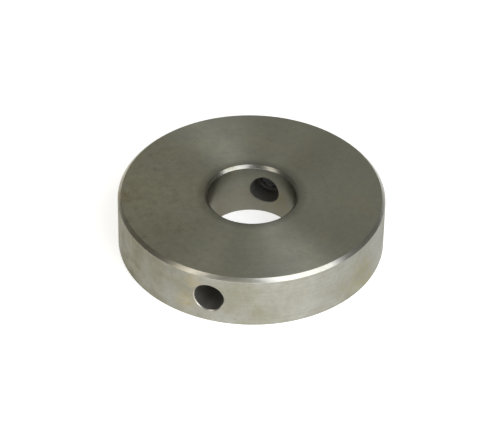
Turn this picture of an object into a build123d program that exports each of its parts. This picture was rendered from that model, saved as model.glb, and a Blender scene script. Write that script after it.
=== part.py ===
from build123d import *
import math
import os

# Set-screw shaft collar: one solid turned ring on a round shaft, with a cross hole on a diameter
# and a socket set screw in each half of it. Millimetres. The origin is on the bore's axis at the
# bottom face, +Z runs along the bore, and the cross hole runs along Y with its front mouth at -Y.

# Ring
SHAFT_DIAMETER = 25.0
OUTER_DIAMETER = 3 * SHAFT_DIAMETER
WIDTH = 16.0
TOP_OUTER_CHAMFER = 1.0
TOP_BORE_CHAMFER = 0.8
BOTTOM_EDGE_BREAK = 0.1

# Cross hole, drilled through both walls at mid width
HOLE_DIAMETER = 8.5
OUTER_MOUTH_BREAK = 0.25
BORE_MOUTH_BREAK = 0.15

# Set screws: M8 x 10, hexagon socket, cup point
SCREW_DIAMETER = 8.0
SCREW_LENGTH = 10.0
THREAD_PITCH = 1.25
THREAD_ROOT_DIAMETER = SCREW_DIAMETER - 1.2269 * THREAD_PITCH
SOCKET_ACROSS_FLATS = 4.0
SOCKET_DEPTH = 4.5
CUP_DIAMETER = 5.0
CUP_RIM = 0.2
DRILL_POINT_ANGLE = 120.0
TURNS_BACKED_OFF = 4

# Derived places
BORE_RADIUS = SHAFT_DIAMETER / 2
OUTER_RADIUS = OUTER_DIAMETER / 2
MID_HEIGHT = WIDTH / 2
SCREW_TIP_RADIUS = BORE_RADIUS + TURNS_BACKED_OFF * THREAD_PITCH


def cone_depth(radius):
    """Depth of a drilled cone of the given mouth radius."""
    return radius / math.tan(math.radians(DRILL_POINT_ANGLE / 2))


def turned_blank():
    """The ring before drilling: half its section, turned about the bore's axis."""
    with BuildPart() as blank:
        with BuildSketch(Plane.XZ):
            with BuildLine():
                Polyline(
                    (BORE_RADIUS + BOTTOM_EDGE_BREAK, 0),
                    (OUTER_RADIUS - BOTTOM_EDGE_BREAK, 0),
                    (OUTER_RADIUS, BOTTOM_EDGE_BREAK),
                    (OUTER_RADIUS, WIDTH - TOP_OUTER_CHAMFER),
                    (OUTER_RADIUS - TOP_OUTER_CHAMFER, WIDTH),
                    (BORE_RADIUS + TOP_BORE_CHAMFER, WIDTH),
                    (BORE_RADIUS, WIDTH - TOP_BORE_CHAMFER),
                    (BORE_RADIUS, BOTTOM_EDGE_BREAK),
                    close=True,
                )
            make_face()
        revolve(axis=Axis.Z)
    return blank.part


def break_mouths(ring, wall_radius, size):
    """Break the hole's edges where it meets the wall of the given radius."""
    across = HOLE_DIAMETER / 2
    mouths = [
        edge
        for edge in ring.edges().filter_by(GeomType.CIRCLE, reverse=True).filter_by(GeomType.LINE, reverse=True)
        if abs(math.hypot((edge @ 0).X, (edge @ 0).Y) - wall_radius) < 0.01
        and abs((edge @ 0).Z - MID_HEIGHT) <= across + 0.01
    ]
    return chamfer(mouths, size)


def collar_ring():
    """The turned ring with its cross hole, and the burrs taken off the hole's mouths."""
    drill = Rot(X=90) * Cylinder(HOLE_DIAMETER / 2, 2 * OUTER_DIAMETER)
    ring = turned_blank() - Pos(Z=MID_HEIGHT) * drill
    ring = break_mouths(ring, OUTER_RADIUS, OUTER_MOUTH_BREAK)
    return break_mouths(ring, BORE_RADIUS, BORE_MOUTH_BREAK)


def set_screw():
    """One set screw along +Z, cup point at z = 0, at the thread's full diameter."""
    thread_radius = SCREW_DIAMETER / 2
    cup_radius = CUP_DIAMETER / 2
    root_radius = THREAD_ROOT_DIAMETER / 2
    hollow_radius = cup_radius - CUP_RIM
    with BuildPart() as screw:
        with BuildSketch(Plane.XZ):
            with BuildLine():
                Polyline(
                    (0, cone_depth(hollow_radius)),
                    (hollow_radius, 0),
                    (cup_radius, 0),
                    (thread_radius, thread_radius - cup_radius),
                    (thread_radius, SCREW_LENGTH - (thread_radius - root_radius)),
                    (root_radius, SCREW_LENGTH),
                    (0, SCREW_LENGTH),
                    close=True,
                )
            make_face()
        revolve(axis=Axis.Z)
        with BuildSketch(Plane.XY.offset(SCREW_LENGTH)):
            RegularPolygon(SOCKET_ACROSS_FLATS / 2, 6, major_radius=False)
        extrude(amount=-SOCKET_DEPTH, mode=Mode.SUBTRACT)
        pilot_radius = SOCKET_ACROSS_FLATS / 2
        pilot_depth = cone_depth(pilot_radius)
        with Locations((0, 0, SCREW_LENGTH - SOCKET_DEPTH - pilot_depth / 2)):
            Cone(0, pilot_radius, pilot_depth, mode=Mode.SUBTRACT)
    return screw.part


def seated_screw(side):
    """A set screw backed off in the hole's front half (side -1, at -Y) or rear half (side 1)."""
    outwards = Rot(X=-90 * side) * set_screw()
    return Pos(Y=side * SCREW_TIP_RADIUS, Z=MID_HEIGHT) * outwards


NODES = {
    "collar_ring": collar_ring(),
    "set_screw_front": seated_screw(-1),
    "set_screw_rear": seated_screw(1),
}

os.makedirs("parts", exist_ok=True)
for name, shape in NODES.items():
    export_step(shape, f"parts/{name}.step")
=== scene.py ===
import math

import bmesh
import bpy
from mathutils import Matrix, Quaternion, Vector


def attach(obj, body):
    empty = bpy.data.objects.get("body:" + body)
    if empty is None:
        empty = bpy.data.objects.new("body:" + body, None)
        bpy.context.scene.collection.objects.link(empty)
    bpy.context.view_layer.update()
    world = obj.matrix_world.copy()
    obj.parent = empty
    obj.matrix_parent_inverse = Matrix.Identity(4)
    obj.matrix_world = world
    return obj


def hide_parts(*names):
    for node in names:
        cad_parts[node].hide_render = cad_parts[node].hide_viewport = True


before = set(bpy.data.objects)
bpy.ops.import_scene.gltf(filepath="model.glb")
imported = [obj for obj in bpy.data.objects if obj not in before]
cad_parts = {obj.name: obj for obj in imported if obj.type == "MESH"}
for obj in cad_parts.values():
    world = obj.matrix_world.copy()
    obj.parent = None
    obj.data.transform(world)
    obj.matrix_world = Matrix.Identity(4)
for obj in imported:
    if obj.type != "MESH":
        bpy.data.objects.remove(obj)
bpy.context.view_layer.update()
scene = bpy.context.scene


# ---- Camera ----
# A long lens on a tripod, well back from the bench and looking down on the ring at about forty
# degrees, a little to the right of the front hole, so that the round faces are seen with hardly
# any perspective.
MM = 0.001
CAMERA_DISTANCE = 778.0 * MM
CAMERA_AZIMUTH = math.radians(17.5)
CAMERA_ELEVATION = math.radians(39.48)
CAMERA_ROLL = math.radians(0.99)
CAMERA_AIM = Vector((-0.39, 0.0, 8.38)) * MM


def bearing(azimuth, elevation):
    """Unit vector from the ring to a place round it: azimuth 0 is in front, at -Y, and 90 at +X."""
    flat = math.cos(elevation)
    return Vector((math.sin(azimuth) * flat, -math.cos(azimuth) * flat, math.sin(elevation)))


camera_data = bpy.data.cameras.new("long_lens")
camera_data.sensor_width = 36.0
camera_data.lens = 197.6
camera_data.clip_start = 0.01
camera_data.clip_end = 20.0
camera = bpy.data.objects.new("camera", camera_data)
camera.location = bearing(CAMERA_AZIMUTH, CAMERA_ELEVATION) * CAMERA_DISTANCE
sight_line = (CAMERA_AIM - camera.location).to_track_quat("-Z", "Y")
camera.rotation_mode = "QUATERNION"
camera.rotation_quaternion = sight_line @ Quaternion((0.0, 0.0, 1.0), CAMERA_ROLL)
scene.collection.objects.link(camera)
scene.camera = camera
scene.view_settings.view_transform = "Standard"


# ---- Studio ----
# A white light table under the ring, a broad softbox to the right of the camera, a narrow one to
# its left and a long low card in front, in a dim room. The turned wall mirrors the table and the
# card, and the top face the dim room behind.
def linear(hex_colour):
    """An sRGB hex colour as the linear RGBA that shaders take."""
    channels = [int(hex_colour[i : i + 2], 16) / 255 for i in (1, 3, 5)]
    lit = [c / 12.92 if c <= 0.04045 else ((c + 0.055) / 1.055) ** 2.4 for c in channels]
    return (*lit, 1.0)


def add_node(tree, kind, settings=None):
    """A shader node: a setting is a property, an input's value, or an output that feeds an input."""
    node = tree.nodes.new("ShaderNode" + kind)
    for name, value in (settings or {}).items():
        if isinstance(value, bpy.types.NodeSocket):
            tree.links.new(value, node.inputs[name])
        elif isinstance(name, int) or name in node.inputs:
            node.inputs[name].default_value = value
        else:
            setattr(node, name, value)
    return node


def new_material(name):
    """An empty node material, and its tree."""
    material = bpy.data.materials.new(name)
    material.use_nodes = True
    material.node_tree.nodes.clear()
    return material, material.node_tree


# Opal acrylic, lit from below: matt white, with its own faint glow.
opal_acrylic, tree = new_material("opal_acrylic_table")
table_shader = add_node(
    tree,
    "BsdfPrincipled",
    {
        "Base Color": linear("#f2f2f2"),
        "Roughness": 0.9,
        "Specular IOR Level": 0.0,
        "Emission Color": linear("#ffffff"),
        "Emission Strength": 0.62,
    },
)
add_node(tree, "OutputMaterial", {"Surface": table_shader.outputs["BSDF"]})

TABLE_SIZE = 6.0
table_mesh = bpy.data.meshes.new("light_table")
shape = bmesh.new()
bmesh.ops.create_grid(shape, x_segments=1, y_segments=1, size=TABLE_SIZE / 2)
shape.to_mesh(table_mesh)
shape.free()
table_mesh.materials.append(opal_acrylic)
light_table = bpy.data.objects.new("light_table", table_mesh)
scene.collection.objects.link(light_table)

# The dim room, lighter in the corner behind the ring, which its top face mirrors. The glow starts
# at the first cosine from the corner's direction.
ROOM_FRONT = 0.12
ROOM_BACK = 0.50
GLOW_FROM = 0.55
room = bpy.data.worlds.new("dim_room")
scene.world = room
room.use_nodes = True
tree = room.node_tree
tree.nodes.clear()
direction = add_node(tree, "TexCoord").outputs["Generated"]
back_corner = bearing(CAMERA_AZIMUTH + math.pi, CAMERA_ELEVATION)
towards_back = add_node(
    tree, "VectorMath", {"operation": "DOT_PRODUCT", 0: direction, 1: back_corner}
).outputs["Value"]
room_level = add_node(
    tree,
    "MapRange",
    {
        "Value": towards_back,
        "From Min": GLOW_FROM,
        "From Max": 1.0,
        "To Min": ROOM_FRONT,
        "To Max": ROOM_BACK,
    },
).outputs["Result"]
room_light = add_node(tree, "Background", {"Color": linear("#fffcf0"), "Strength": room_level})
add_node(tree, "OutputWorld", {"Surface": room_light.outputs["Background"]})


LAMP_DISTANCE = 0.7


def softbox(name, azimuth, elevation, width, height, radiance, colour):
    """A rectangular softbox facing the ring, as bright all over as radiance says."""
    lamp = bpy.data.lights.new(name, "AREA")
    lamp.shape = "RECTANGLE"
    lamp.size = width
    lamp.size_y = height
    lamp.energy = math.pi * width * height * radiance
    lamp.color = linear(colour)[:3]
    lamp_object = bpy.data.objects.new(name, lamp)
    lamp_object.location = bearing(azimuth, elevation) * LAMP_DISTANCE
    lamp_object.rotation_mode = "QUATERNION"
    lamp_object.rotation_quaternion = (-lamp_object.location).to_track_quat("-Z", "Y")
    scene.collection.objects.link(lamp_object)


softbox(
    "key_softbox",
    azimuth=CAMERA_AZIMUTH + math.radians(48),
    elevation=math.radians(46),
    width=0.58,
    height=0.60,
    radiance=2.6,
    colour="#f8faff",
)
softbox(
    "side_softbox",
    azimuth=CAMERA_AZIMUTH - math.radians(53),
    elevation=math.radians(43),
    width=0.20,
    height=0.50,
    radiance=1.9,
    colour="#fff9ef",
)
softbox(
    "low_front_card",
    azimuth=CAMERA_AZIMUTH + math.radians(3),
    elevation=math.radians(16.5),
    width=1.40,
    height=0.36,
    radiance=1.96,
    colour="#fcfdfa",
)


# ---- Collar ring ----
# One piece of free-cutting mild steel, parted off the bar, faced, bored and chamfered in a lathe,
# then drilled across both walls. It is bare metal under a film of oil, beginning to tarnish.
BORE_RADIUS = 12.5 * MM
OUTER_RADIUS = 37.5 * MM
WIDTH = 16.0 * MM
TOP_OUTER_CHAMFER = 1.0 * MM
TOP_BORE_CHAMFER = 0.8 * MM
BOTTOM_EDGE_BREAK = 0.1 * MM
EDGE_ROUND = 0.05 * MM
RING_STEPS = 360
HOLE_RADIUS = 4.25 * MM
OUTER_MOUTH_BREAK = 0.25 * MM
BORE_MOUTH_BREAK = 0.15 * MM
HOLE_STEPS = 120
MID_HEIGHT = WIDTH / 2
RING_WELD = 0.001 * MM
SHARP_ANGLE = math.radians(28)
SURFACES = ["faced", "turned", "chamfered", "countersunk", "bored", "drilled"]
# A face is level, or else sloping, when the upright part of its normal is more than this.
LEVEL_FROM = 0.9
SLOPING_FROM = 0.2


def finished_object(name, shape, materials):
    """Turns a bmesh into a smooth-shaded object at the origin, creased where it turns sharply."""
    mesh = bpy.data.meshes.new(name)
    shape.to_mesh(mesh)
    shape.free()
    for material in materials:
        mesh.materials.append(material)
    mesh.shade_smooth()
    mesh.set_sharp_from_angle(angle=SHARP_ANGLE)
    piece = bpy.data.objects.new(name, mesh)
    scene.collection.objects.link(piece)
    return piece


def turned_blank():
    """The ring before drilling: its section, with every corner just rounded, spun round the bore."""
    corners = [
        (BORE_RADIUS + BOTTOM_EDGE_BREAK, 0),
        (OUTER_RADIUS - BOTTOM_EDGE_BREAK, 0),
        (OUTER_RADIUS, BOTTOM_EDGE_BREAK),
        (OUTER_RADIUS, WIDTH - TOP_OUTER_CHAMFER),
        (OUTER_RADIUS - TOP_OUTER_CHAMFER, WIDTH),
        (BORE_RADIUS + TOP_BORE_CHAMFER, WIDTH),
        (BORE_RADIUS, WIDTH - TOP_BORE_CHAMFER),
        (BORE_RADIUS, BOTTOM_EDGE_BREAK),
    ]
    blank = bmesh.new()
    section = [blank.verts.new((x, 0, z)) for x, z in corners]
    for start, end in zip(section, section[1:] + section[:1]):
        blank.edges.new((start, end))
    bmesh.ops.bevel(
        blank,
        geom=section,
        offset=EDGE_ROUND,
        affect="VERTICES",
        segments=3,
        profile=0.5,
        material=-1,
    )
    bmesh.ops.spin(
        blank,
        geom=blank.verts[:] + blank.edges[:],
        cent=(0, 0, 0),
        axis=(0, 0, 1),
        angle=2 * math.pi,
        steps=RING_STEPS,
        use_merge=True,
    )
    bmesh.ops.remove_doubles(blank, verts=blank.verts, dist=RING_WELD)
    bmesh.ops.recalc_face_normals(blank, faces=blank.faces)
    for face in blank.faces:
        face.material_index = surface_of(face)
    return blank


def surface_of(face):
    """Which tool left this face of the blank, as an index into SURFACES."""
    centre = face.calc_center_median()
    if abs(face.normal.z) > LEVEL_FROM:
        return SURFACES.index("faced")
    outside = centre.xy.length > (BORE_RADIUS + OUTER_RADIUS) / 2
    if abs(face.normal.z) > SLOPING_FROM:
        return SURFACES.index("chamfered" if outside else "countersunk")
    return SURFACES.index("turned" if outside else "bored")


def hole_cutter(side):
    """The drill's path through one wall, flared to follow the round wall at both mouths."""
    stations = [
        (HOLE_RADIUS + 2 * BORE_MOUTH_BREAK, BORE_RADIUS, -BORE_MOUTH_BREAK),
        (HOLE_RADIUS, BORE_RADIUS, BORE_MOUTH_BREAK),
        (HOLE_RADIUS, OUTER_RADIUS, -OUTER_MOUTH_BREAK),
        (HOLE_RADIUS + 2 * OUTER_MOUTH_BREAK, OUTER_RADIUS, OUTER_MOUTH_BREAK),
    ]
    cutter = bmesh.new()
    upright = Matrix.Rotation(math.pi / 2, 4, "X")
    bmesh.ops.create_circle(cutter, segments=HOLE_STEPS, radius=HOLE_RADIUS, matrix=upright)
    rim = cutter.edges[:]
    for number, (radius, wall, offset) in enumerate(stations):
        if number:
            grown = bmesh.ops.extrude_edge_only(cutter, edges=rim)["geom"]
            rim = [part for part in grown if isinstance(part, bmesh.types.BMEdge)]
            rim = [edge for edge in rim if all(vertex in grown for vertex in edge.verts)]
        for vertex in {vertex for edge in rim for vertex in edge.verts}:
            around = Vector((vertex.co.x, 0, vertex.co.z)).normalized() * radius
            depth = math.sqrt(wall**2 - around.x**2) + offset
            vertex.co = Vector((around.x, side * depth, around.z))
    bmesh.ops.holes_fill(cutter, edges=cutter.edges, sides=0)
    bmesh.ops.translate(cutter, verts=cutter.verts, vec=(0, 0, MID_HEIGHT))
    bmesh.ops.recalc_face_normals(cutter, faces=cutter.faces)
    # The flare at the outer mouth is bright, and all the rest is as the drill left it.
    flare_from = OUTER_RADIUS - 2 * MM
    for face in cutter.faces:
        flared = abs(face.normal.y) > 0.3 and abs(face.calc_center_median().y) > flare_from
        face.material_index = SURFACES.index("chamfered" if flared else "drilled")
    return cutter


def cut(piece, cutter):
    """Takes the cutter's volume out of a piece for good."""
    tool = finished_object("cutter", cutter, piece.data.materials)
    modifier = piece.modifiers.new("cut", "BOOLEAN")
    modifier.object = tool
    modifier.operation = "DIFFERENCE"
    modifier.solver = "EXACT"
    depsgraph = bpy.context.evaluated_depsgraph_get()
    solid = bpy.data.meshes.new_from_object(piece.evaluated_get(depsgraph))
    piece.modifiers.clear()
    old = piece.data
    piece.data = solid
    bpy.data.meshes.remove(old)
    bpy.data.objects.remove(tool)


# Spots where oxidation has started to show through the oil, and spots of painted shade: each one's
# centre, its reach and its colour, which is straw on the bright front wall, olive in the bore and
# brown on the top face. The three dark olive spots low on the left are painted shade, standing in
# for the table's shadow that the wall mirrors.
RUST_AND_SHADE_SPOTS = [
    (Vector((-4.0, -37.3, 12.2)) * MM, 3.6 * MM, "#c4ae72"),
    (Vector((-7.0, -36.8, 4.5)) * MM, 4.5 * MM, "#c4b27c"),
    # Painted shade: these three darken the wall low on the left, in place of the table's shadow that
    # the wall mirrors.
    (Vector((-27.0, -26.0, 0.0)) * MM, 9.0 * MM, "#7f795a"),
    (Vector((-35.0, -13.0, 0.0)) * MM, 11.0 * MM, "#756f54"),
    (Vector((-29.5, -23.0, -2.0)) * MM, 15.0 * MM, "#6c6750"),
    (Vector((-33.5, -11.5, 16.0)) * MM, 5.5 * MM, "#8f7248"),
    (Vector((-9.5, 9.5, 16.0)) * MM, 5.0 * MM, "#9a8a5c"),
    (Vector((31.0, 18.0, 3.0)) * MM, 7.0 * MM, "#aca06e"),
    (Vector((35.7, -11.6, 4.0)) * MM, 11.0 * MM, "#b0a772"),
    (Vector((6.0, 11.0, 5.0)) * MM, 8.0 * MM, "#877f50"),
]
# The side where tarnish is heaviest. On the wall, its darker staining is also painted shade,
# standing in for the table's shadow as the wall mirrors it.
TARNISHED_AND_SHADED_SIDE = (-0.92, -0.39, 0.0)
# How broad the marks of age and the painted shade are: patches of tarnish, blots of oxidation and of
# painted shade, blots of dried oil, oil specks, and the mottling left by fingers.
PATCH_SIZE = 14.0 * MM
SPOT_BLOTCH_SIZE = 2.6 * MM
BLOT_SIZE = 2.6 * MM
SPECK_SIZE = 1.3 * MM
MOTTLE_SIZE = 1.7 * MM
# The darker ring at the bore's rim: where it ends on the top face, and how far down the bore it
# runs.
RIM_DARKENING_FULL = BORE_RADIUS + 1.0 * MM
RIM_DARKENING_END = BORE_RADIUS + 3.4 * MM
RIM_DARKENING_DEPTH = 6.0 * MM


def tool_marks(tree, radius, height, outwards, feed, radial_share):
    """Noise that changes with each groove and hardly at all along it."""
    inwards = add_node(
        tree, "Math", {"operation": "MULTIPLY", 0: radius, 1: radial_share}
    ).outputs[0]
    travel = add_node(tree, "Math", {"operation": "ADD", 0: inwards, 1: height}).outputs[0]
    groove = add_node(tree, "Math", {"operation": "DIVIDE", 0: travel, 1: feed}).outputs[0]
    heading = add_node(tree, "SeparateXYZ", {"Vector": outwards})
    groove_place = add_node(
        tree, "CombineXYZ", {"X": groove, "Y": heading.outputs["X"], "Z": heading.outputs["Y"]}
    ).outputs["Vector"]
    return add_node(
        tree, "TexNoise", {"Vector": groove_place, "Scale": 1.0, "Detail": 3.0, "Roughness": 0.6}
    ).outputs["Fac"]


def tarnished_and_side_shaded(tree, base, stain_and_shade, patches, sided):
    """The bare metal's colour, stained in broad soft patches, most of them on one side, where the
    wall's darker staining is also painted shade.
    """
    patch_sum = add_node(tree, "Math", {"operation": "ADD", 0: patches, 1: sided}).outputs[0]
    patch_amount = add_node(
        tree, "MapRange", {"Value": patch_sum, "From Min": 0.45, "From Max": 0.85}
    ).outputs["Result"]
    return add_node(
        tree, "Mix", {"data_type": "RGBA", 0: patch_amount, 6: linear(base), 7: linear(stain_and_shade)}
    ).outputs[2]


def rusted_and_shaded(tree, colour, place):
    """The colour, with each spot showing through in soft blots: oxidation for most of them, painted
    shade for the dark ones low on the left.
    """
    spot_blotches = add_node(
        tree,
        "TexNoise",
        {"Vector": place, "Scale": 1 / SPOT_BLOTCH_SIZE, "Detail": 4.0, "Roughness": 0.6},
    ).outputs["Fac"]
    spot_blotch_amount = add_node(
        tree, "MapRange", {"Value": spot_blotches, "From Min": 0.38, "From Max": 0.66, "To Max": 0.42}
    ).outputs["Result"]
    for centre, reach, spot_colour in RUST_AND_SHADE_SPOTS:
        away = add_node(
            tree, "VectorMath", {"operation": "DISTANCE", 0: place, 1: centre}
        ).outputs["Value"]
        near = add_node(
            tree,
            "MapRange",
            {
                "Value": away,
                "From Min": 0.2 * reach,
                "From Max": reach,
                "To Min": 1.0,
                "To Max": 0.0,
            },
        ).outputs["Result"]
        amount = add_node(
            tree, "Math", {"operation": "MULTIPLY", 0: near, 1: spot_blotch_amount}
        ).outputs[0]
        colour = add_node(
            tree, "Mix", {"data_type": "RGBA", 0: amount, 6: colour, 7: linear(spot_colour)}
        ).outputs[2]
    return colour


def rim_darkened_and_oiled(tree, colour, place, radius, height, sided):
    """The colour darkened in a ring at the bore's rim and down the top of the bore, and under dried
    oil in blots and specks all over.
    """
    at_rim = add_node(
        tree,
        "MapRange",
        {
            "Value": radius,
            "From Min": RIM_DARKENING_FULL,
            "From Max": RIM_DARKENING_END,
            "To Min": 0.45,
            "To Max": 0.0,
        },
    ).outputs["Result"]
    near_top = add_node(
        tree, "MapRange", {"Value": height, "From Min": WIDTH - RIM_DARKENING_DEPTH, "From Max": WIDTH}
    ).outputs["Result"]
    rim_darkening = add_node(
        tree, "Math", {"operation": "MULTIPLY", 0: at_rim, 1: near_top}
    ).outputs[0]
    colour = add_node(
        tree, "Mix", {"data_type": "RGBA", 0: rim_darkening, 6: colour, 7: linear("#4c4f4b")}
    ).outputs[2]

    blots = add_node(
        tree,
        "TexNoise",
        {"Vector": place, "Scale": 1 / BLOT_SIZE, "Detail": 8.0, "Roughness": 0.74},
    ).outputs["Fac"]
    blot_sum = add_node(
        tree, "Math", {"operation": "MULTIPLY_ADD", 0: sided, 1: 0.5, 2: blots}
    ).outputs[0]
    blot_amount = add_node(
        tree, "MapRange", {"Value": blot_sum, "From Min": 0.58, "From Max": 0.80, "To Max": 0.24}
    ).outputs["Result"]
    specks = add_node(
        tree,
        "TexNoise",
        {"Vector": place, "Scale": 1 / SPECK_SIZE, "Detail": 2.0, "Roughness": 0.6},
    ).outputs["Fac"]
    speck_amount = add_node(
        tree, "MapRange", {"Value": specks, "From Min": 0.68, "From Max": 0.84, "To Max": 0.4}
    ).outputs["Result"]
    oil_amount = add_node(
        tree, "Math", {"operation": "ADD", 0: blot_amount, 1: speck_amount}
    ).outputs[0]
    return add_node(
        tree, "Mix", {"data_type": "RGBA", 0: oil_amount, 6: colour, 7: linear("#5a5346")}
    ).outputs[2]


def turned_steel(
    name, base, stain_and_shade, roughness, anisotropy, feed, mark_depth, mark_contrast, radial_share
):
    """Lathe-cut mild steel: fine grooves run round the bore, so light fans out across them."""
    material, tree = new_material(name)
    place = add_node(tree, "TexCoord").outputs["Object"]
    normal = add_node(tree, "NewGeometry").outputs["Normal"]
    height = add_node(tree, "SeparateXYZ", {"Vector": place}).outputs["Z"]

    # Along the groove, and across it in the surface: the metal scatters light along the second.
    flat = add_node(
        tree, "VectorMath", {"operation": "MULTIPLY", 0: place, 1: (1.0, 1.0, 0.0)}
    ).outputs[0]
    radius = add_node(tree, "VectorMath", {"operation": "LENGTH", 0: flat}).outputs["Value"]
    outwards = add_node(tree, "VectorMath", {"operation": "NORMALIZE", 0: flat}).outputs[0]
    along = add_node(
        tree, "VectorMath", {"operation": "CROSS_PRODUCT", 0: (0.0, 0.0, 1.0), 1: outwards}
    ).outputs[0]
    across = add_node(
        tree, "VectorMath", {"operation": "CROSS_PRODUCT", 0: along, 1: normal}
    ).outputs[0]

    # The real feed is nearer 0.15 mm, and is drawn coarser so that the marks show.
    marks = tool_marks(tree, radius, height, outwards, feed, radial_share)
    mark_shade = add_node(
        tree,
        "MapRange",
        {
            "Value": marks,
            "From Min": 0.25,
            "From Max": 0.75,
            "To Min": 1 - mark_contrast,
            "To Max": 1 + mark_contrast,
        },
    ).outputs["Result"]

    # Staining heaped on one side: real tarnish on the top face, and partly painted shade on the
    # wall's left.
    facing = add_node(
        tree, "VectorMath", {"operation": "DOT_PRODUCT", 0: outwards, 1: TARNISHED_AND_SHADED_SIDE}
    ).outputs["Value"]
    sided = add_node(
        tree, "MapRange", {"Value": facing, "From Min": 0.3, "From Max": 1.0, "To Max": 0.28}
    ).outputs["Result"]
    patches = add_node(
        tree,
        "TexNoise",
        {"Vector": place, "Scale": 1 / PATCH_SIZE, "Detail": 4.0, "Roughness": 0.6},
    ).outputs["Fac"]
    colour = tarnished_and_side_shaded(tree, base, stain_and_shade, patches, sided)
    colour = rusted_and_shaded(tree, colour, place)
    colour = rim_darkened_and_oiled(tree, colour, place, radius, height, sided)

    # Fine mottling, with the tool's marks, over all of it.
    mottling = add_node(
        tree,
        "TexNoise",
        {"Vector": place, "Scale": 1 / MOTTLE_SIZE, "Detail": 6.0, "Roughness": 0.7},
    ).outputs["Fac"]
    mottled = add_node(
        tree,
        "MapRange",
        {"Value": mottling, "From Min": 0.3, "From Max": 0.7, "To Min": 0.93, "To Max": 1.07},
    ).outputs["Result"]
    shade = add_node(
        tree, "Math", {"operation": "MULTIPLY", 0: mark_shade, 1: mottled}
    ).outputs[0]
    colour = add_node(
        tree, "VectorMath", {"operation": "SCALE", 0: colour, "Scale": shade}
    ).outputs[0]

    dullness = add_node(
        tree,
        "MapRange",
        {
            "Value": patches,
            "From Min": 0.3,
            "From Max": 0.8,
            "To Min": roughness - 0.03,
            "To Max": roughness + 0.08,
        },
    ).outputs["Result"]
    bump = add_node(
        tree, "Bump", {"Height": marks, "Strength": 1.0, "Distance": mark_depth}
    ).outputs["Normal"]
    shader = add_node(
        tree,
        "BsdfPrincipled",
        {
            "Metallic": 1.0,
            "Anisotropic": anisotropy,
            "Base Color": colour,
            "Roughness": dullness,
            "Normal": bump,
            "Tangent": across,
        },
    )
    add_node(tree, "OutputMaterial", {"Surface": shader.outputs["BSDF"]})
    return material


# Drill chatter leaves slow, uneven waves about 10 mm long in the hole's wall. The wave texture
# counts 20 radians to a unit.
CHATTER_WAVE = math.tau * 1.6 * MM
CHATTER_DEPTH = 0.02 * MM
GRIME_SIZE = 2.5 * MM


def drilled_steel(name, grimy, clean):
    """A drill or tap leaves a dull torn finish, blotched with grime between the two colours given.
    """
    material, tree = new_material(name)
    place = add_node(tree, "TexCoord").outputs["Object"]
    chatter = add_node(
        tree,
        "TexWave",
        {
            "Vector": place,
            "wave_type": "BANDS",
            "bands_direction": "Y",
            "Scale": math.tau / 20 / CHATTER_WAVE,
            "Distortion": 3.0,
            "Detail": 2.0,
        },
    ).outputs["Fac"]
    grime = add_node(
        tree, "TexNoise", {"Vector": place, "Scale": 1 / GRIME_SIZE, "Detail": 4.0}
    ).outputs["Fac"]
    colour = add_node(
        tree, "Mix", {"data_type": "RGBA", 0: grime, 6: linear(grimy), 7: linear(clean)}
    ).outputs[2]
    bump = add_node(
        tree, "Bump", {"Height": chatter, "Strength": 0.6, "Distance": CHATTER_DEPTH}
    ).outputs["Normal"]
    shader = add_node(
        tree,
        "BsdfPrincipled",
        {"Metallic": 0.8, "Roughness": 0.6, "Base Color": colour, "Normal": bump},
    )
    add_node(tree, "OutputMaterial", {"Surface": shader.outputs["BSDF"]})
    return material


# Faced: rings round the bore spread each lamp into a soft fan of light across the top.
faced = turned_steel(
    "mild_steel_faced",
    base="#98998f",
    stain_and_shade="#a3a290",
    roughness=0.40,
    anisotropy=0.87,
    feed=0.5 * MM,
    mark_depth=0.002 * MM,
    mark_contrast=0.04,
    radial_share=1.0,
)
# Turned: a coarser cut, which blurs the light table into an even grey sheen round the wall. Its
# darker staining on the left is partly painted shade.
turned = turned_steel(
    "mild_steel_turned",
    base="#a9a89f",
    stain_and_shade="#95927b",
    roughness=0.56,
    anisotropy=0.65,
    feed=0.5 * MM,
    mark_depth=0.002 * MM,
    mark_contrast=0.05,
    radial_share=0.0,
)
# Chamfered: a fresh, finer cut at 45 degrees, where the lamps show as bright narrow arcs.
chamfered = turned_steel(
    "mild_steel_chamfered",
    base="#bcbbb3",
    stain_and_shade="#aca794",
    roughness=0.30,
    anisotropy=0.4,
    feed=0.4 * MM,
    mark_depth=0.001 * MM,
    mark_contrast=0.03,
    radial_share=0.3,
)
# Countersunk: cut last and smoothest, so the bore's far rim is the brightest line on the ring.
countersunk = turned_steel(
    "mild_steel_countersunk",
    base="#c4c3ba",
    stain_and_shade="#b9b6a6",
    roughness=0.29,
    anisotropy=0.4,
    feed=0.4 * MM,
    mark_depth=0.0004 * MM,
    mark_contrast=0.03,
    radial_share=0.3,
)
# Bored: darker than the outside, because oil stays on it.
bored = turned_steel(
    "mild_steel_bored",
    base="#858477",
    stain_and_shade="#7f7a68",
    roughness=0.38,
    anisotropy=0.8,
    feed=0.4 * MM,
    mark_depth=0.002 * MM,
    mark_contrast=0.05,
    radial_share=0.0,
)
# Drilled: dull and grimy, and nearly black where no light gets in.
drilled = drilled_steel("mild_steel_drilled", grimy="#75746f", clean="#908e88")

collar_ring = finished_object(
    "turned_collar_ring", turned_blank(), [faced, turned, chamfered, countersunk, bored, drilled]
)
for side in (-1, 1):
    cut(collar_ring, hole_cutter(side))
collar_ring.data.shade_smooth()
collar_ring.data.set_sharp_from_angle(angle=SHARP_ANGLE)
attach(collar_ring, "collar")
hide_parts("collar_ring")


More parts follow.
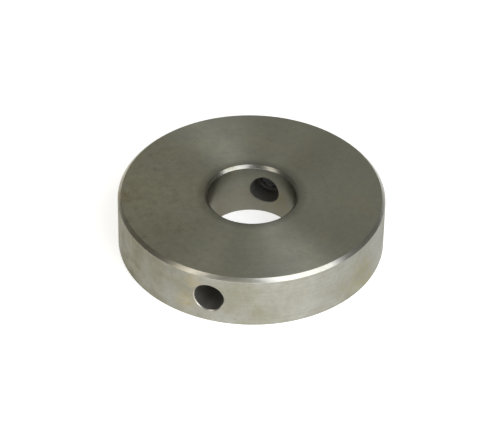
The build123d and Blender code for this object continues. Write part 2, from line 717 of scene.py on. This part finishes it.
# ---- Tapped threads ----
# The M8 thread that a tap has cut in the middle of each wall, between two plain stretches of the
# drilled hole. It is the ring's own steel, so it stays with the ring. Its ends are countersunk,
# and its back is sunk in the hole's wall.
THREAD_PITCH = 1.25 * MM
THREAD_RADIUS = 4.0 * MM
THREAD_DEPTH = 0.6134 * THREAD_PITCH
TAPPED_MINOR_RADIUS = 3.32 * MM
THREAD_CLEARANCE = 0.06 * MM
SLEEVE_RADIUS = HOLE_RADIUS + 0.1 * MM
SCREW_TIP = 17.5 * MM
TAPPED_FROM = 17.9 * MM
TAPPED_TO = 28.0 * MM
# Half of the crest's flat, and where the root's flat starts, in pitches from the crest's middle.
CREST_HALF = 1 / 16
ROOT_START = 3 / 8
ROWS_PER_PITCH = 16
THREAD_STEPS = 96
THREAD_WELD = 0.002 * MM
RIM_BAND = 0.01 * MM


def screw_radius(turns):
    """The 60-degree thread's radius at a place along it, counted in turns from a crest."""
    from_crest = abs(turns - round(turns))
    down_flank = min(max((from_crest - CREST_HALF) / (ROOT_START - CREST_HALF), 0), 1)
    return THREAD_RADIUS - down_flank * THREAD_DEPTH


def tapped_radius(height, turns):
    """The tapped hole clears the screw's thread all over, and opens out at both ends."""
    to_end = min(height - (TAPPED_FROM - SCREW_TIP), TAPPED_TO - SCREW_TIP - height)
    tapped = max(screw_radius(turns) + THREAD_CLEARANCE, TAPPED_MINOR_RADIUS)
    return max(tapped, SLEEVE_RADIUS - to_end)


def threaded_wall(low, high, radius_at):
    """A right-hand threaded tube along Z, as one upright line spun and raised a pitch per turn.

    The spin ends a pitch above where it began, so remove_doubles closes its seam, not use_merge.
    """
    wall = bmesh.new()
    row_height = THREAD_PITCH / ROWS_PER_PITCH
    first = math.floor((low - THREAD_PITCH) / row_height)
    last = math.ceil(high / row_height)
    rows = range(first, last + 1)
    line = [wall.verts.new((THREAD_RADIUS, 0, row * row_height)) for row in rows]
    edges = [wall.edges.new(pair) for pair in zip(line, line[1:])]
    bmesh.ops.spin(
        wall,
        geom=line + edges,
        cent=(0, 0, 0),
        axis=(0, 0, 1),
        dvec=(0, 0, THREAD_PITCH / THREAD_STEPS),
        angle=2 * math.pi,
        steps=THREAD_STEPS,
        use_merge=False,
    )
    for vertex in wall.verts:
        around = math.atan2(vertex.co.y, vertex.co.x)
        turns = vertex.co.z / THREAD_PITCH - around / (2 * math.pi)
        height = min(max(vertex.co.z, low), high)
        radius = radius_at(height, turns)
        vertex.co = (radius * math.cos(around), radius * math.sin(around), height)
    bmesh.ops.remove_doubles(wall, verts=wall.verts, dist=THREAD_WELD)
    return wall


def open_rim(shape, height):
    """The open edges of a bmesh at a height."""
    boundary = [edge for edge in shape.edges if edge.is_boundary]
    return [edge for edge in boundary if abs(edge.verts[0].co.z - height) < RIM_BAND]


def along_hole(shape, side):
    """Lays a shape made along Z into one half of the cross hole, from its screw's tip outwards."""
    turn = Matrix.Rotation(-side * math.pi / 2, 4, "X")
    bmesh.ops.transform(shape, matrix=turn, verts=shape.verts)
    bmesh.ops.translate(shape, verts=shape.verts, vec=(0, side * SCREW_TIP, MID_HEIGHT))


HALVES = {"front": -1, "rear": 1}
# Tapped: torn, and painted darker than the drilled wall, as shade deep in the hole.
tapped = drilled_steel("mild_steel_tapped", grimy="#55544f", clean="#73716b")

for half, side in HALVES.items():
    low, high = TAPPED_FROM - SCREW_TIP, TAPPED_TO - SCREW_TIP
    sleeve = threaded_wall(low, high, tapped_radius)
    bmesh.ops.bridge_loops(sleeve, edges=open_rim(sleeve, low) + open_rim(sleeve, high))
    bmesh.ops.recalc_face_normals(sleeve, faces=sleeve.faces)
    along_hole(sleeve, side)
    tapped_thread = finished_object(f"tapped_thread_{half}", sleeve, [tapped])
    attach(tapped_thread, "collar")


# ---- Set screws ----
# Two hardened alloy-steel socket set screws, M8 by 10 with a cup point, thread-rolled and
# black-oxided. Each is turned in with a 4 mm key until its cup bites on the shaft.
SCREW_LENGTH = 10.0 * MM
CUP_RIM_RADIUS = 2.5 * MM
CUP_HOLLOW_RADIUS = 2.3 * MM
CUP_DEPTH = 1.33 * MM
SOCKET_APOTHEM = 2.0 * MM
SOCKET_MOUTH_RADIUS = 2.42 * MM
SOCKET_DEPTH = 4.5 * MM
SOCKET_CONE = 1.15 * MM
END_CONE_RADIUS = THREAD_RADIUS - THREAD_DEPTH - 0.1 * MM
PILOT_RADIUS = 0.98 * SOCKET_APOTHEM
COUNTERSINK_SLOPE = math.tan(math.radians(30))


def set_screw_radius(height, turns):
    """The screw's thread, cut off by the cones at its point and at its socket end."""
    point_cone = CUP_RIM_RADIUS + height
    end_cone = END_CONE_RADIUS + (SCREW_LENGTH - height)
    return min(screw_radius(turns), point_cone, end_cone)


def hexagon_radius(around):
    """The socket's radius in a direction: a hexagon with flats two apothems apart."""
    return SOCKET_APOTHEM / math.cos(math.radians((math.degrees(around) + 30) % 60 - 30))


def step_in(shape, rim, place):
    """Extrudes an open rim and moves each new vertex to the place for its direction."""
    grown = bmesh.ops.extrude_edge_only(shape, edges=rim)["geom"]
    new_vertices = [part for part in grown if isinstance(part, bmesh.types.BMVert)]
    for vertex in new_vertices:
        around = math.atan2(vertex.co.y, vertex.co.x)
        radius, height = place(around)
        vertex.co = (radius * math.cos(around), radius * math.sin(around), height)
    return [part for part in grown if isinstance(part, bmesh.types.BMEdge) and part.is_boundary]


def close_at(shape, rim, height):
    """Draws an open rim in to a point on the axis."""
    rim = step_in(shape, rim, lambda around: (SOCKET_APOTHEM / 2, height))
    points = list({vertex for edge in rim for vertex in edge.verts})
    bmesh.ops.pointmerge(shape, verts=points, merge_co=(0, 0, height))


def set_screw():
    """The screw along Z, with the cup's rim at z = 0 and the socket at the far end."""
    screw = threaded_wall(0, SCREW_LENGTH, set_screw_radius)
    cup = step_in(screw, open_rim(screw, 0), lambda around: (CUP_HOLLOW_RADIUS, 0))
    close_at(screw, cup, CUP_DEPTH)
    end = open_rim(screw, SCREW_LENGTH)
    mouth = step_in(screw, end, lambda around: (SOCKET_MOUTH_RADIUS, SCREW_LENGTH))
    flats = step_in(
        screw,
        mouth,
        lambda around: (
            hexagon_radius(around),
            SCREW_LENGTH - (SOCKET_MOUTH_RADIUS - hexagon_radius(around)) * COUNTERSINK_SLOPE,
        ),
    )
    floor = SCREW_LENGTH - SOCKET_DEPTH
    flats = step_in(screw, flats, lambda around: (hexagon_radius(around), floor))
    pilot = step_in(screw, flats, lambda around: (PILOT_RADIUS, floor))
    close_at(screw, pilot, floor - SOCKET_CONE)
    bmesh.ops.recalc_face_normals(screw, faces=screw.faces)
    return screw


# How broad the worn patches and the oxide's own grain are, and how far down a crest is rubbed.
WEAR_SIZE = 0.9 * MM
GRAIN_SIZE = 0.12 * MM
GRAIN_DEPTH = 0.006 * MM
CREST_WEAR = 0.12 * MM


def black_oxide(name):
    """Magnetite on steel: a soft near-black, worn to grey on the thread's crests, and oily."""
    material, tree = new_material(name)
    place = add_node(tree, "TexCoord").outputs["Object"]
    from_axis = add_node(
        tree, "VectorMath", {"operation": "SUBTRACT", 0: place, 1: (0.0, 0.0, MID_HEIGHT)}
    ).outputs[0]
    across_axis = add_node(
        tree, "VectorMath", {"operation": "MULTIPLY", 0: from_axis, 1: (1.0, 0.0, 1.0)}
    ).outputs[0]
    radius = add_node(
        tree, "VectorMath", {"operation": "LENGTH", 0: across_axis}
    ).outputs["Value"]
    wear = add_node(
        tree, "TexNoise", {"Vector": place, "Scale": 1 / WEAR_SIZE, "Detail": 3.0}
    ).outputs["Fac"]
    crest = add_node(
        tree,
        "MapRange",
        {"Value": radius, "From Min": THREAD_RADIUS - CREST_WEAR, "From Max": THREAD_RADIUS},
    ).outputs["Result"]
    worn = add_node(tree, "Math", {"operation": "MULTIPLY", 0: crest, 1: wear}).outputs[0]
    colour = add_node(
        tree, "Mix", {"data_type": "RGBA", 0: worn, 6: linear("#434346"), 7: linear("#7d7b76")}
    ).outputs[2]
    dullness = add_node(
        tree, "MapRange", {"Value": wear, "To Min": 0.34, "To Max": 0.52}
    ).outputs["Result"]
    grain = add_node(
        tree, "TexNoise", {"Vector": place, "Scale": 1 / GRAIN_SIZE, "Detail": 2.0}
    ).outputs["Fac"]
    bump = add_node(
        tree, "Bump", {"Height": grain, "Strength": 0.5, "Distance": GRAIN_DEPTH}
    ).outputs["Normal"]
    shader = add_node(
        tree,
        "BsdfPrincipled",
        {
            "Metallic": 0.7,
            "Coat Weight": 0.25,
            "Coat Roughness": 0.3,
            "Base Color": colour,
            "Roughness": dullness,
            "Normal": bump,
        },
    )
    add_node(tree, "OutputMaterial", {"Surface": shader.outputs["BSDF"]})
    return material


black_oxided = black_oxide("alloy_steel_black_oxided")

for half, side in HALVES.items():
    shape = set_screw()
    along_hole(shape, side)
    screw = finished_object(f"socket_set_screw_{half}", shape, [black_oxided])
    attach(screw, f"{half}_screw")
    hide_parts(f"set_screw_{half}")
